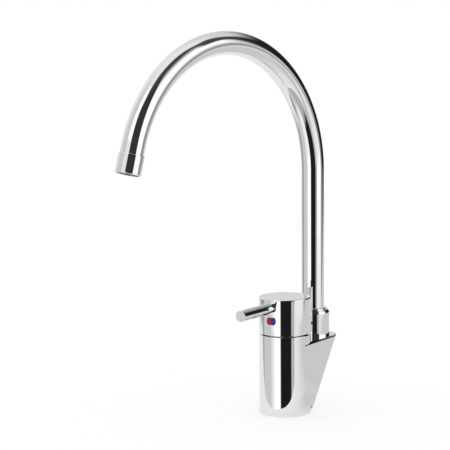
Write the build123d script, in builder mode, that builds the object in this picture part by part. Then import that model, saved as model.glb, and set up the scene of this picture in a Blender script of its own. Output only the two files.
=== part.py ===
from build123d import *
import os
from math import asin, atan2, cos, degrees, radians, sin, tan

os.makedirs("parts", exist_ok=True)

# Kitchen mixer tap with a third waterway for filtered water. Millimetres, +Z up.
# The origin is the centre of the body's foot on the sink, the lever points to -Y
# and the arm that carries the spout points to +Y.

# Fits
turning_gap = 0.05      # radial, between pieces that turn in each other
loose_gap = 0.1         # radial, where a seal closes it or a rotor is only guided
disc_gap = 0.05         # between the two ceramic discs
free_gap = 0.4          # between pieces that pass each other
groove_share = 1.2      # width of a seal's groove over the seal's wire

# Body and arm
body_diameter = 50.0
body_height = 78.0      # from the sink to the seam
foot_fillet = 2.0
seam_gap = 1.2          # between the body and the handle cap
seam_bevel = 0.4
spout_offset = 52.0     # from the body's axis to the spout's axis
arm_drop = 8.5          # from the seam down to the arm's flat top
arm_foot = 3.5          # height where the arm's underside leaves the body
arm_knee_height = 8.0   # where the underside turns into the slope
arm_knee_back = 7.2     # how far the arm's round stands behind the body there
arm_knee_inset = 0.4    # and how far it is inside the body's radius
arm_end_diameter = 46.4
flat_inset_top = 0.2    # how far the side flats lie inside the tangent plane
flat_inset_foot = 0.8
flat_foot = 7.0
flat_front = 5.0
flat_corner = 13.0
flat_over = 3.0         # the cut of the flats runs this far above the arm's top
cone_inset = 0.1        # the sloping end starts this far inside the body's side
web_inset = 0.15        # the web lies this far inside the sides of body and end
web_shift = 1.0         # and this far along the arm, past where the sides touch

# Foot: ring seal, inlet block, stud
gasket_land = 1.5       # metal between the inlet block and the ring seal
gasket_width = 2.0
gasket_depth = 2.0
block_diameter = 38.0
block_height = 18.0
port_circle = 22.0      # diameter of the circle of the ports
inlet_drill = 9.0       # M10x1 thread
inlet_thread_length = 12.0
stud_drill = 6.8        # M8 thread
waterway_diameter = 6.0
mixed_way_diameter = 6.4
filtered_way_diameter = 4.4
way_dip = 10.0          # the outlet ways drop this far below the cartridge
mixed_way_back = 3.0    # the mixed way ends this far before the spout's axis
mixed_way_rise = 1.0    # and this far above the sump's floor
port_seal_wire = 1.2

# Cartridge
cartridge_diameter = 35.0
cartridge_sink = 28.0   # from the seam down to the floor of the cartridge
floor_thickness = 4.0
disc_thickness = 3.0
disc_port_inset = 0.5   # ports of the fixed disc, radially inside the waterways
moving_disc_diameter = 18.0
mixing_pocket_length = 10.8
housing_wall = 2.0
flange_height = 2.0
flange_clearance = 0.5  # radial, inside the nut's thread
shoulder_depth = 12.0   # from the seam down to the shoulder under the flange
neck_diameter = 28.0
neck_wall = 1.6
neck_height = 3.0       # above the seam
nut_thread_diameter = 40.0
nut_rise = 2.0          # above the seam
nut_notch_width = 5.0
nut_notch_depth = 2.0
nut_notches = 6

# Handle
cap_height = 35.0
cap_wall = 2.6
cap_roof = 3.0
cap_bevel = 1.1
cap_boss_diameter = 16.0
relief_over = 2.0       # the cut for the tilt runs this far outside the cap
relief_below = 1.0      # and this far below it
boss_clearance = 4.2    # from the tilt axis up to the boss
lift_angle = 16.0
tilt_offset = 12.0      # tilt axis behind the body's axis
tilt_rise = 7.0         # tilt axis above the seam
tilt_pin_diameter = 3.0
post_width = 8.0
post_length = 12.0
stem_width = 8.0
stem_diameter = 6.0
stem_reach = 19.0       # from the tilt axis down to the ball of the stem
stem_front = 6.0
fork_wall = 3.4
fork_margin = 3.0
head_diameter = 33.0
head_thickness = 2.6
lever_diameter = 10.6
lever_length = 53.8
lever_drop = 7.8        # from the cap's top to the lever's axis
lever_chamfer = 0.6
lever_thread_diameter = 6.0
lever_thread_length = 8.0
lever_seat_depth = 1.4
lever_pad_margin = 3.0  # width of the pad behind the lever, over the lever's
lever_pad_bite = 0.5    # how far the pad runs into the cap's wall
index_drop = 20.8       # from the cap's top to the index mark
index_diameter = 9.0
index_ring_wall = 0.6
index_thickness = 1.4
grub_diameter = 5.0
grub_length = 5.0
grub_socket = 2.2
grub_key_diameter = 2.5 # across the corners of its hexagon socket

# Disc carrier
carrier_diameter = 11.0
carrier_height = 11.0
carrier_pocket_diameter = 7.0
carrier_pocket_floor = 2.0

# Swivel
collar_diameter = 32.2
collar_height = 26.3
collar_shoulder_width = 1.5    # of the cone below the collar's mouth
collar_shoulder_height = 2.7
collar_lip_wall = 0.85  # of the lip around the bearing ring
collar_lip_height = 1.6
collar_thread_diameter = 26.0
collar_thread_length = 7.0
sump_depth = 1.5
sump_diameter = 19.0
bearing_wall = 1.0
bearing_height = 4.0
washer_height = 1.5
washer_inner = 16.0
nipple_height = 22.0
nipple_plug = 12.0
nipple_bore = 8.0
nipple_ways = 6
nipple_way_diameter = 3.0
nipple_way_circle = 13.4
seal_wire = 2.0
seal_height_low = 5.0
seal_height_high = 11.0
stop_height = 17.5
stop_depth = 1.6
stop_tip_diameter = 3.0
stop_thread_diameter = 4.0
swing_each_side = 70.0
stop_screw_side = 90.0  # the stop screw's direction, in degrees from +X
spigot_seat = 4.0
spigot_wall = 1.7
spigot_rise = 11.0
spigot_groove_drop = 3.0
spigot_seal_wire = 1.0

# Spout
spout_diameter = 22.0
spout_wall = 1.2
spout_turn = 9.5        # how far the spout stands turned towards -X
bend_height = 231.0
first_bend_radius = 130.5
first_bend_angle = 66.0
second_bend_radius = 123.0
second_bend_angle = 97.5
outlet_straight_length = 6.5
filter_tube_diameter = 8.0
filter_tube_wall = 1.0
aerator_diameter = 24.0
aerator_length = 18.0
aerator_overlap = 8.0
aerator_chamfer = 0.6
aerator_recess = 0.8
aerator_wall = 1.8
aerator_jets = 12
aerator_jet_diameter = 2.0
aerator_jet_circle = 14.4
filtered_outlet_diameter = 5.0
filter_seat_depth = 3.5
aerator_seal_height = 1.5
aerator_seal_width = 2.6

# Sizes that follow from the ones above
body_r = body_diameter / 2
arm_top = body_height - arm_drop
arm_end_r = arm_end_diameter / 2
side_turn = asin((body_r - arm_end_r) / spout_offset)
cap_foot = body_height + seam_gap
cap_top = cap_foot + cap_height
gasket_inner_r = block_diameter / 2 + gasket_land
gasket_outer_r = gasket_inner_r + gasket_width
port_x = port_circle / 2 * cos(radians(45))
inlet_places = [(-port_x, -port_x), (port_x, -port_x), (-port_x, port_x)]
mixed_place = (port_x, port_x)
chamber_floor = body_height - cartridge_sink
shoulder = body_height - shoulder_depth
disc_level = chamber_floor + floor_thickness
moving_level = disc_level + disc_thickness + disc_gap
carrier_level = moving_level + disc_thickness
neck_top = body_height + neck_height
neck_bore_r = neck_diameter / 2 - neck_wall
housing_bore_r = cartridge_diameter / 2 - housing_wall
tilt_height = body_height + tilt_rise
ball_height = tilt_height - stem_reach
lift_travel = (tilt_offset * (1 - cos(radians(lift_angle)))
               - stem_reach * sin(radians(lift_angle)))
head_foot = neck_top + free_gap
post_foot = tilt_height + fork_margin
collar_top = arm_top + collar_height
socket_floor = arm_top - collar_thread_length
nipple_foot = socket_floor + washer_height
nipple_top = nipple_foot + nipple_height
spout_r = spout_diameter / 2
spout_bore_r = spout_r - spout_wall
spout_side = radians(spout_turn)
lever_height = cap_top - lever_drop
index_height = cap_top - index_drop

spout_axis = Axis((0, spout_offset, 0), (0, 0, 1))
spout_plane = Plane(
    origin=(0, spout_offset, 0),
    x_dir=(-sin(spout_side), -cos(spout_side), 0),
    z_dir=(-cos(spout_side), sin(spout_side), 0),
)
section_plane = Plane(origin=(0, spout_offset, 0), x_dir=(1, 0, 0), z_dir=(0, -1, 0))


def spout_route(foot, outlet):
    """Line of the spout: up, two arcs over, and straight to the outlet."""
    with BuildLine(spout_plane) as route:
        leg = Line((0, foot), (0, bend_height))
        rise = JernArc(leg @ 1, leg % 1, first_bend_radius, -first_bend_angle)
        fall = JernArc(rise @ 1, rise % 1, second_bend_radius, -second_bend_angle)
        Line(fall @ 1, (fall @ 1) + (fall % 1) * outlet)
    return route.wire()


def outlet_plane(beyond):
    """Plane across the spout's outlet end, square to its line, facing out."""
    route = spout_route(nipple_top, outlet_straight_length)
    end = route @ 1
    way = route % 1
    return Plane(origin=end + way * beyond, x_dir=spout_plane.z_dir, z_dir=way)


def rest(piece, name):
    """Label a finished piece and write its file."""
    piece.part.label = name
    export_step(piece.part, "parts/" + name + ".step")


# Side flat of the arm, as the metal taken off the right side
flat_lean = degrees(atan2(flat_inset_foot - flat_inset_top, arm_top - flat_foot))
flat_normal = Vector(cos(side_turn), sin(side_turn), -tan(radians(flat_lean)))
flat_plane = Plane(
    origin=Vector(cos(side_turn), sin(side_turn), 0) * (body_r - flat_inset_top)
    + Vector(0, 0, arm_top),
    x_dir=(-sin(side_turn), cos(side_turn), 0),
    z_dir=flat_normal,
)
flat_reach = spout_offset + arm_end_diameter
flat_low = flat_foot - arm_top
with BuildPart() as side_flat:
    with BuildSketch(flat_plane):
        with BuildLine():
            corner_start = (-flat_front, flat_low + flat_corner)
            corner_end = (flat_corner - flat_front, flat_low)
            Polyline(corner_start, (-flat_front, flat_over), (flat_reach, flat_over),
                     (flat_reach, flat_low), corner_end)
            RadiusArc(corner_start, corner_end, -flat_corner)
        make_face()
    extrude(amount=body_r)

# Web between the body and the arm's round end, just inside the sides they share
web_foot_y = body_r * sin(side_turn) + web_shift
web_back = spout_offset + arm_end_r * sin(side_turn) + web_shift
web_front_x = body_r - web_inset
web_back_x = arm_end_r * cos(side_turn) - web_inset
with BuildPart() as arm_web:
    with BuildSketch(Plane.YZ):
        with BuildLine():
            Polyline((0, arm_foot), (web_foot_y, arm_foot),
                     (web_foot_y + arm_knee_back, arm_knee_height),
                     (web_back, arm_top), (0, arm_top), close=True)
        make_face()
    extrude(amount=body_r, both=True)
    with BuildSketch(Plane.XY.offset(arm_foot)):
        with BuildLine():
            Polyline((-web_front_x, 0), (web_front_x, 0), (web_back_x, web_back),
                     (-web_back_x, web_back), close=True)
        make_face()
    extrude(amount=arm_top - arm_foot, mode=Mode.INTERSECT)

# Body: the cylinder up to the arm's top, the arm's sloping end and the web between
with BuildPart() as body_casting:
    with BuildSketch():
        Circle(body_r)
    extrude(amount=arm_top)
    with BuildSketch(Plane.XY.offset(arm_foot)):
        Circle(body_r - cone_inset)
    with BuildSketch(Plane.XY.offset(arm_knee_height)):
        with Locations((0, arm_knee_back)):
            Circle(body_r - arm_knee_inset)
    with BuildSketch(Plane.XY.offset(arm_top)):
        with Locations((0, spout_offset)):
            Circle(arm_end_r)
    loft(ruled=True)
    add(arm_web.part)
    add(side_flat.part, mode=Mode.SUBTRACT)
    mirror(side_flat.part, about=Plane.YZ, mode=Mode.SUBTRACT)
    with BuildSketch(Plane.XY.offset(arm_top)):
        Circle(body_r)
    extrude(amount=arm_drop)
    fillet(body_casting.faces().sort_by(Axis.Z)[0].edges(), foot_fillet)
    chamfer(body_casting.faces().sort_by(Axis.Z)[-1].edges(), seam_bevel)

    # Foot: groove of the ring seal and seat of the inlet block
    with BuildSketch():
        Circle(gasket_outer_r)
        Circle(gasket_inner_r, mode=Mode.SUBTRACT)
    extrude(amount=gasket_depth, mode=Mode.SUBTRACT)
    with BuildSketch():
        Circle(block_diameter / 2)
    extrude(amount=block_height, mode=Mode.SUBTRACT)

    # Chamber of the cartridge and thread of its nut
    with BuildSketch(Plane.XY.offset(chamber_floor)):
        Circle(cartridge_diameter / 2)
    extrude(amount=cartridge_sink, mode=Mode.SUBTRACT)
    with BuildSketch(Plane.XY.offset(shoulder)):
        Circle(nut_thread_diameter / 2)
    extrude(amount=shoulder_depth, mode=Mode.SUBTRACT)

    # Inlet waterways, from the block up to the cartridge
    with BuildSketch(Plane.XY.offset(block_height)):
        with Locations(*inlet_places):
            Circle(waterway_diameter / 2)
    extrude(amount=chamber_floor - block_height, mode=Mode.SUBTRACT)

    # Socket of the collar, its sump and the seat of the filtered water spigot
    with BuildSketch(Plane.XY.offset(socket_floor)):
        with Locations((0, spout_offset)):
            Circle(collar_thread_diameter / 2)
    extrude(amount=collar_thread_length, mode=Mode.SUBTRACT)
    sump_floor = socket_floor - sump_depth
    with BuildSketch(Plane.XY.offset(sump_floor)):
        with Locations((0, spout_offset)):
            Circle(sump_diameter / 2)
    extrude(amount=sump_depth, mode=Mode.SUBTRACT)
    spigot_foot = sump_floor - spigot_seat
    spigot_r = nipple_bore / 2 - loose_gap
    with BuildSketch(Plane.XY.offset(spigot_foot)):
        with Locations((0, spout_offset)):
            Circle(spigot_r)
    extrude(amount=spigot_seat, mode=Mode.SUBTRACT)

    # Outlet waterways: down from the cartridge, then up along the arm
    mixed_low = chamber_floor - way_dip
    mixed_start = Vector(mixed_place[0], mixed_place[1], mixed_low)
    mixed_end = Vector(mixed_place[0], spout_offset - mixed_way_back,
                       sump_floor + mixed_way_rise)
    filtered_start = Vector(0, 0, mixed_low)
    filtered_end = Vector(0, spout_offset, spigot_foot - filtered_way_diameter / 2)
    with BuildSketch(Plane.XY.offset(mixed_low)):
        with Locations(mixed_place):
            Circle(mixed_way_diameter / 2)
    extrude(amount=way_dip, mode=Mode.SUBTRACT)
    with BuildSketch(Plane(origin=mixed_start, z_dir=mixed_end - mixed_start)):
        Circle(mixed_way_diameter / 2)
    extrude(amount=(mixed_end - mixed_start).length, mode=Mode.SUBTRACT)
    with BuildSketch(Plane.XY.offset(mixed_low)):
        Circle(filtered_way_diameter / 2)
    extrude(amount=way_dip, mode=Mode.SUBTRACT)
    with BuildSketch(Plane(origin=filtered_start, z_dir=filtered_end - filtered_start)):
        Circle(filtered_way_diameter / 2)
    extrude(amount=(filtered_end - filtered_start).length, mode=Mode.SUBTRACT)
    with BuildSketch(Plane.XY.offset(filtered_end.Z)):
        with Locations((0, spout_offset)):
            Circle(filtered_way_diameter / 2)
    extrude(amount=filtered_way_diameter / 2, mode=Mode.SUBTRACT)
rest(body_casting, "body_casting")

# Ring seal in the foot, flush with it
with BuildPart() as base_gasket:
    with BuildSketch():
        Circle(gasket_outer_r)
        Circle(gasket_inner_r, mode=Mode.SUBTRACT)
    extrude(amount=gasket_depth)
rest(base_gasket, "base_gasket")

# Brass block with three threaded inlets and the threaded hole of the fixing stud
with BuildPart() as inlet_block:
    with BuildSketch():
        Circle(block_diameter / 2)
    extrude(amount=block_height)
    with BuildSketch():
        with Locations(*inlet_places):
            Circle(inlet_drill / 2)
    extrude(amount=inlet_thread_length, mode=Mode.SUBTRACT)
    with BuildSketch():
        with Locations(*inlet_places):
            Circle(waterway_diameter / 2)
        Circle(stud_drill / 2)
    extrude(amount=block_height, mode=Mode.SUBTRACT)
    with BuildSketch(Plane.XY.offset(block_height - port_seal_wire)):
        with Locations(*inlet_places):
            Circle(waterway_diameter / 2 + port_seal_wire)
    extrude(amount=port_seal_wire, mode=Mode.SUBTRACT)
rest(inlet_block, "inlet_block")


def port_rings(level, places, bore):
    """Flat seal rings around ports, one solid each."""
    with BuildPart() as rings:
        with BuildSketch(Plane.XY.offset(level)):
            with Locations(*places):
                Circle(bore / 2 + port_seal_wire)
                Circle(bore / 2, mode=Mode.SUBTRACT)
        extrude(amount=port_seal_wire)
    return rings


inlet_seals = port_rings(block_height - port_seal_wire, inlet_places, waterway_diameter)
rest(inlet_seals, "inlet_seals")

# Cartridge: floor with its ports, and the seals in the floor's underside
wide_places = inlet_places + [mixed_place]
with BuildPart() as cartridge_base:
    with BuildSketch(Plane.XY.offset(chamber_floor)):
        Circle(housing_bore_r)
        with Locations(*wide_places):
            Circle(waterway_diameter / 2, mode=Mode.SUBTRACT)
        Circle(filtered_way_diameter / 2, mode=Mode.SUBTRACT)
    extrude(amount=floor_thickness)
    with BuildSketch(Plane.XY.offset(chamber_floor)):
        with Locations(*wide_places):
            Circle(waterway_diameter / 2 + port_seal_wire)
        Circle(filtered_way_diameter / 2 + port_seal_wire)
    extrude(amount=port_seal_wire, mode=Mode.SUBTRACT)
rest(cartridge_base, "cartridge_base")

with BuildPart() as cartridge_seals:
    with BuildSketch(Plane.XY.offset(chamber_floor)):
        with Locations(*wide_places):
            Circle(waterway_diameter / 2 + port_seal_wire)
        Circle(filtered_way_diameter / 2 + port_seal_wire)
        with Locations(*wide_places):
            Circle(waterway_diameter / 2, mode=Mode.SUBTRACT)
        Circle(filtered_way_diameter / 2, mode=Mode.SUBTRACT)
    extrude(amount=port_seal_wire)
rest(cartridge_seals, "cartridge_seals")

with BuildPart() as cartridge_housing:
    with BuildSketch(Plane.XY.offset(chamber_floor)):
        Circle(cartridge_diameter / 2)
    extrude(amount=cartridge_sink - shoulder_depth)
    with BuildSketch(Plane.XY.offset(shoulder)):
        Circle(nut_thread_diameter / 2 - flange_clearance)
    extrude(amount=flange_height)
    with BuildSketch(Plane.XY.offset(shoulder + flange_height)):
        Circle(neck_diameter / 2)
    extrude(amount=neck_top - shoulder - flange_height)
    with BuildSketch(Plane.XY.offset(chamber_floor)):
        Circle(housing_bore_r)
    extrude(amount=cartridge_sink - shoulder_depth, mode=Mode.SUBTRACT)
    with BuildSketch(Plane.XY.offset(shoulder)):
        Circle(neck_bore_r)
    extrude(amount=neck_top - shoulder, mode=Mode.SUBTRACT)
rest(cartridge_housing, "cartridge_housing")

# Fixed ceramic disc: three inlet ports and the two outlet ports
with BuildPart() as fixed_disc:
    with BuildSketch(Plane.XY.offset(disc_level)):
        Circle(housing_bore_r)
        with Locations(*wide_places):
            Circle(waterway_diameter / 2 - disc_port_inset, mode=Mode.SUBTRACT)
        Circle(filtered_way_diameter / 2, mode=Mode.SUBTRACT)
    extrude(amount=disc_thickness)
rest(fixed_disc, "fixed_disc")

# Moving ceramic disc with its mixing pocket, and the cup that carries it
with BuildPart() as moving_disc:
    with BuildSketch(Plane.XY.offset(moving_level)):
        Circle(moving_disc_diameter / 2)
    extrude(amount=disc_thickness)
    with BuildSketch(Plane.XY.offset(moving_level)):
        SlotOverall(mixing_pocket_length, waterway_diameter)
    extrude(amount=disc_thickness / 2, mode=Mode.SUBTRACT)
rest(moving_disc, "moving_disc")

with BuildPart() as disc_carrier:
    with BuildSketch(Plane.XY.offset(carrier_level)):
        Circle(carrier_diameter / 2)
    extrude(amount=carrier_height)
    with BuildSketch(Plane.XY.offset(carrier_level + carrier_pocket_floor)):
        Circle(carrier_pocket_diameter / 2)
    extrude(amount=carrier_height - carrier_pocket_floor, mode=Mode.SUBTRACT)
rest(disc_carrier, "disc_carrier")

# Nut that holds the cartridge down, notched for its key
nut_r = nut_thread_diameter / 2
nut_top = body_height + nut_rise
with BuildPart() as retaining_nut:
    with BuildSketch(Plane.XY.offset(shoulder + flange_height)):
        Circle(nut_r)
        Circle(neck_diameter / 2 + turning_gap, mode=Mode.SUBTRACT)
    extrude(amount=nut_top - shoulder - flange_height)
    with BuildSketch(Plane.XY.offset(nut_top - nut_notch_depth)):
        with PolarLocations(nut_r, nut_notches):
            Rectangle(nut_notch_width, nut_notch_width)
    extrude(amount=nut_notch_depth, mode=Mode.SUBTRACT)
rest(retaining_nut, "retaining_nut")

# Rotor: it turns in the cartridge's neck, and its fork holds the tilt pin
rotor_foot = carrier_level + free_gap
rotor_low = shoulder - free_gap
cup_room_x = carrier_diameter / 2 + free_gap
cup_room_front = carrier_diameter / 2 + free_gap - lift_travel
stem_room_x = stem_diameter / 2 + free_gap
stem_front_room = stem_diameter / 2 + free_gap - lift_travel
cup_top = carrier_level + carrier_height + free_gap
pin_r = tilt_pin_diameter / 2
fork_inner = stem_width / 2 + free_gap
fork_outer = fork_inner + fork_wall
fork_top = tilt_height + fork_margin
with BuildPart() as cartridge_rotor:
    with BuildSketch(Plane.XY.offset(rotor_foot)):
        Circle(housing_bore_r - loose_gap)
    extrude(amount=rotor_low - rotor_foot)
    with BuildSketch(Plane.XY.offset(rotor_low)):
        Circle(neck_bore_r - turning_gap)
    extrude(amount=head_foot - rotor_low)
    with BuildSketch(Plane.XY.offset(head_foot)):
        Circle(head_diameter / 2)
    extrude(amount=head_thickness)
    with BuildSketch(Plane.XY.offset(head_foot)):
        fork_x = (fork_inner + fork_outer) / 2
        with Locations((-fork_x, tilt_offset), (fork_x, tilt_offset)):
            Rectangle(fork_wall, fork_margin * 2)
    extrude(amount=fork_top - head_foot)
    with BuildSketch(Plane.XY.offset(rotor_foot)):
        with Locations((0, -(cup_room_front - cup_room_x) / 2)):
            Rectangle(cup_room_x * 2, cup_room_front + cup_room_x)
    extrude(amount=cup_top - rotor_foot, mode=Mode.SUBTRACT)
    with BuildSketch(Plane.XY.offset(cup_top)):
        with Locations((0, -(stem_front_room - stem_room_x) / 2)):
            Rectangle(stem_room_x * 2, stem_front_room + stem_room_x)
    extrude(amount=head_foot - cup_top, mode=Mode.SUBTRACT)
    slot_front = stem_front + free_gap * 2
    slot_back = tilt_offset + fork_margin + free_gap
    with BuildSketch(Plane.XY.offset(head_foot)):
        with Locations((0, (slot_back - slot_front) / 2)):
            Rectangle(fork_inner * 2, slot_back + slot_front)
    extrude(amount=fork_top - head_foot, mode=Mode.SUBTRACT)
    with BuildSketch(Plane(origin=(0, tilt_offset, tilt_height), z_dir=(1, 0, 0))):
        Circle(pin_r)
    extrude(amount=fork_outer, both=True, mode=Mode.SUBTRACT)
rest(cartridge_rotor, "cartridge_rotor")

with BuildPart() as tilt_pin:
    with BuildSketch(Plane(origin=(0, tilt_offset, tilt_height), z_dir=(1, 0, 0))):
        Circle(pin_r)
    extrude(amount=fork_outer, both=True)
rest(tilt_pin, "tilt_pin")

# Stem: hung on the tilt pin, with a ball end in the carrier and a post in the cap
with BuildPart() as control_stem:
    with BuildSketch(Plane.YZ):
        with Locations((tilt_offset, tilt_height)):
            Circle(fork_margin)
        with Locations(((tilt_offset - stem_front) / 2, tilt_height)):
            Rectangle(tilt_offset + stem_front, fork_margin * 2)
    extrude(amount=stem_width / 2, both=True)
    with BuildSketch(Plane.XY.offset(ball_height)):
        Circle(stem_diameter / 2)
    extrude(amount=tilt_height - ball_height)
    with Locations((0, 0, ball_height)):
        Sphere(stem_diameter / 2)
    with BuildSketch(Plane.XY.offset(post_foot)):
        Rectangle(post_width, post_width)
    extrude(amount=post_length)
    with BuildSketch(Plane(origin=(0, tilt_offset, tilt_height), z_dir=(1, 0, 0))):
        Circle(pin_r + turning_gap)
    extrude(amount=stem_width, both=True, mode=Mode.SUBTRACT)
rest(control_stem, "control_stem")

# Cap: a deep shell with a boss for the stem's post and a pad for the lever
cap_bore_r = body_r - cap_wall
roof_level = cap_top - cap_roof
boss_foot = tilt_height + boss_clearance
pad_width = lever_diameter + lever_pad_margin
pad_foot = lever_height - pad_width / 2
relief_rise = tilt_rise - free_gap
lift = radians(lift_angle)
relief_start = (relief_rise - (tilt_rise - seam_gap) * cos(lift)) / sin(lift)
relief_back = body_r + relief_over
relief_top = (tilt_height
              - (relief_rise - (relief_back - tilt_offset) * sin(lift)) / cos(lift))
with BuildPart() as handle_cap:
    with BuildSketch(Plane.XY.offset(cap_foot)):
        Circle(body_r)
    extrude(amount=cap_height)
    chamfer(handle_cap.faces().sort_by(Axis.Z)[-1].edges(), cap_bevel)
    chamfer(handle_cap.faces().sort_by(Axis.Z)[0].edges(), seam_bevel)
    with BuildSketch(Plane.XY.offset(cap_foot)):
        Circle(cap_bore_r)
    extrude(amount=cap_height - cap_roof, mode=Mode.SUBTRACT)
    with BuildSketch(Plane.XY.offset(boss_foot)):
        Circle(cap_boss_diameter / 2)
    extrude(amount=roof_level - boss_foot)
    with BuildSketch(Plane.XY.offset(pad_foot)):
        with Locations((0, -cap_bore_r / 2 - lever_pad_bite)):
            Rectangle(pad_width, cap_bore_r)
    extrude(amount=roof_level - pad_foot)
    with BuildSketch(Plane.XY.offset(boss_foot)):
        Rectangle(post_width, post_width)
    extrude(amount=post_foot + post_length - boss_foot, mode=Mode.SUBTRACT)
    # seat and thread of the lever
    with BuildSketch(Plane.XZ.offset(body_r - lever_seat_depth)):
        with Locations((0, lever_height)):
            Circle(lever_diameter / 2)
    extrude(amount=lever_seat_depth, mode=Mode.SUBTRACT)
    with BuildSketch(Plane.XZ.offset(body_r - lever_seat_depth - lever_thread_length)):
        with Locations((0, lever_height)):
            Circle(lever_thread_diameter / 2)
    extrude(amount=lever_thread_length, mode=Mode.SUBTRACT)
    # seat of the index mark, and the way of the set screw behind it
    index_r = index_diameter / 2
    ring_r = index_r + index_ring_wall
    with BuildSketch(Plane.XZ.offset(body_r - index_thickness)):
        with Locations((0, index_height)):
            Circle(ring_r)
    extrude(amount=index_thickness, mode=Mode.SUBTRACT)
    with BuildSketch(Plane.XZ.offset(post_width / 2)):
        with Locations((0, index_height)):
            Circle(grub_diameter / 2)
    extrude(amount=body_r - index_thickness - post_width / 2, mode=Mode.SUBTRACT)
    # room behind the tilt axis for the cap's tilt over the body
    with BuildSketch(Plane.YZ):
        with BuildLine():
            Polyline((tilt_offset + relief_start, cap_foot),
                     (relief_back, cap_foot - relief_below),
                     (relief_back, relief_top), close=True)
        make_face()
    extrude(amount=body_diameter, both=True, mode=Mode.SUBTRACT)
rest(handle_cap, "handle_cap")

# Straight lever, screwed into the cap
with BuildPart() as pin_lever:
    with BuildSketch(Plane.XZ.offset(body_r - lever_seat_depth)):
        with Locations((0, lever_height)):
            Circle(lever_diameter / 2)
    extrude(amount=lever_seat_depth + lever_length)
    chamfer(pin_lever.faces().sort_by(Axis.Y)[0].edges(), lever_chamfer)
    with BuildSketch(Plane.XZ.offset(body_r - lever_seat_depth - lever_thread_length)):
        with Locations((0, lever_height)):
            Circle(lever_thread_diameter / 2)
    extrude(amount=lever_thread_length)
rest(pin_lever, "pin_lever")

# Index mark: a ring with a hot and a cold half
index_plane = Plane.XZ.offset(body_r - index_thickness)
with BuildPart() as index_ring:
    with BuildSketch(index_plane):
        with Locations((0, index_height)):
            Circle(ring_r)
            Circle(index_r, mode=Mode.SUBTRACT)
    extrude(amount=index_thickness)
rest(index_ring, "index_ring")


def index_half(side):
    """Half disc of the index mark, on the given side of the middle."""
    with BuildPart() as half:
        with BuildSketch(index_plane):
            with Locations((0, index_height)):
                Circle(index_r)
            with Locations((side * index_r, index_height)):
                Rectangle(index_r * 2, index_diameter, mode=Mode.INTERSECT)
        extrude(amount=index_thickness)
    return half


index_hot = index_half(-1)
rest(index_hot, "index_hot")
index_cold = index_half(1)
rest(index_cold, "index_cold")

with BuildPart() as handle_screw:
    with BuildSketch(Plane.XZ.offset(post_width / 2)):
        with Locations((0, index_height)):
            Circle(grub_diameter / 2)
    extrude(amount=grub_length)
    with BuildSketch(Plane.XZ.offset(post_width / 2 + grub_length - grub_socket)):
        with Locations((0, index_height)):
            RegularPolygon(grub_key_diameter / 2, 6)
    extrude(amount=grub_socket, mode=Mode.SUBTRACT)
rest(handle_screw, "handle_screw")

# Collar: screwed into the arm, the spout turns in it
collar_r = collar_diameter / 2
collar_bore_r = spout_r + turning_gap
bearing_r = collar_bore_r + bearing_wall
screw_height = socket_floor + stop_height
lip_foot = collar_top - collar_lip_height
lip_r = bearing_r + collar_lip_wall
with BuildPart() as spout_collar:
    with BuildSketch(section_plane):
        with BuildLine():
            Polyline(
                (collar_bore_r, socket_floor),
                (collar_thread_diameter / 2, socket_floor),
                (collar_thread_diameter / 2, arm_top),
                (collar_r, arm_top),
                (collar_r, lip_foot - collar_shoulder_height),
                (collar_r - collar_shoulder_width, lip_foot),
                (lip_r, lip_foot),
                (lip_r, collar_top),
                (bearing_r, collar_top),
                (bearing_r, collar_top - bearing_height),
                (collar_bore_r, collar_top - bearing_height),
                close=True,
            )
        make_face()
    revolve(axis=spout_axis)
    with BuildSketch(Plane(origin=(0, spout_offset, screw_height), z_dir=(0, 1, 0))):
        Circle(stop_thread_diameter / 2)
    extrude(amount=collar_r, mode=Mode.SUBTRACT)
rest(spout_collar, "spout_collar")

with BuildPart() as collar_bearing_ring:
    with BuildSketch(Plane.XY.offset(collar_top - bearing_height)):
        with Locations((0, spout_offset)):
            Circle(bearing_r)
            Circle(collar_bore_r, mode=Mode.SUBTRACT)
    extrude(amount=bearing_height)
rest(collar_bearing_ring, "collar_bearing_ring")

with BuildPart() as thrust_washer:
    with BuildSketch(Plane.XY.offset(socket_floor)):
        with Locations((0, spout_offset)):
            Circle(collar_bore_r)
            Circle(washer_inner / 2, mode=Mode.SUBTRACT)
    extrude(amount=washer_height - turning_gap)
rest(thrust_washer, "thrust_washer")

# Stub that brings the filtered water into the spout's inner tube
spigot_top = socket_floor + spigot_rise
spigot_groove = spigot_top - spigot_groove_drop
with BuildPart() as filtered_water_spigot:
    with BuildSketch(Plane.XY.offset(spigot_foot)):
        with Locations((0, spout_offset)):
            Circle(spigot_r)
            Circle(spigot_r - spigot_wall, mode=Mode.SUBTRACT)
    extrude(amount=spigot_top - spigot_foot)
    with BuildSketch(Plane.XY.offset(spigot_groove)):
        with Locations((0, spout_offset)):
            Circle(spigot_r + free_gap)
            Circle(spigot_r - spigot_seal_wire, mode=Mode.SUBTRACT)
    extrude(amount=spigot_seal_wire * groove_share, mode=Mode.SUBTRACT)
rest(filtered_water_spigot, "filtered_water_spigot")

with BuildPart() as spigot_seal:
    with BuildSketch(section_plane):
        with Locations((spigot_r - spigot_seal_wire / 2,
                        spigot_groove + spigot_seal_wire / 2)):
            Circle(spigot_seal_wire / 2)
    revolve(axis=spout_axis)
rest(spigot_seal, "spigot_seal")

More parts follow.
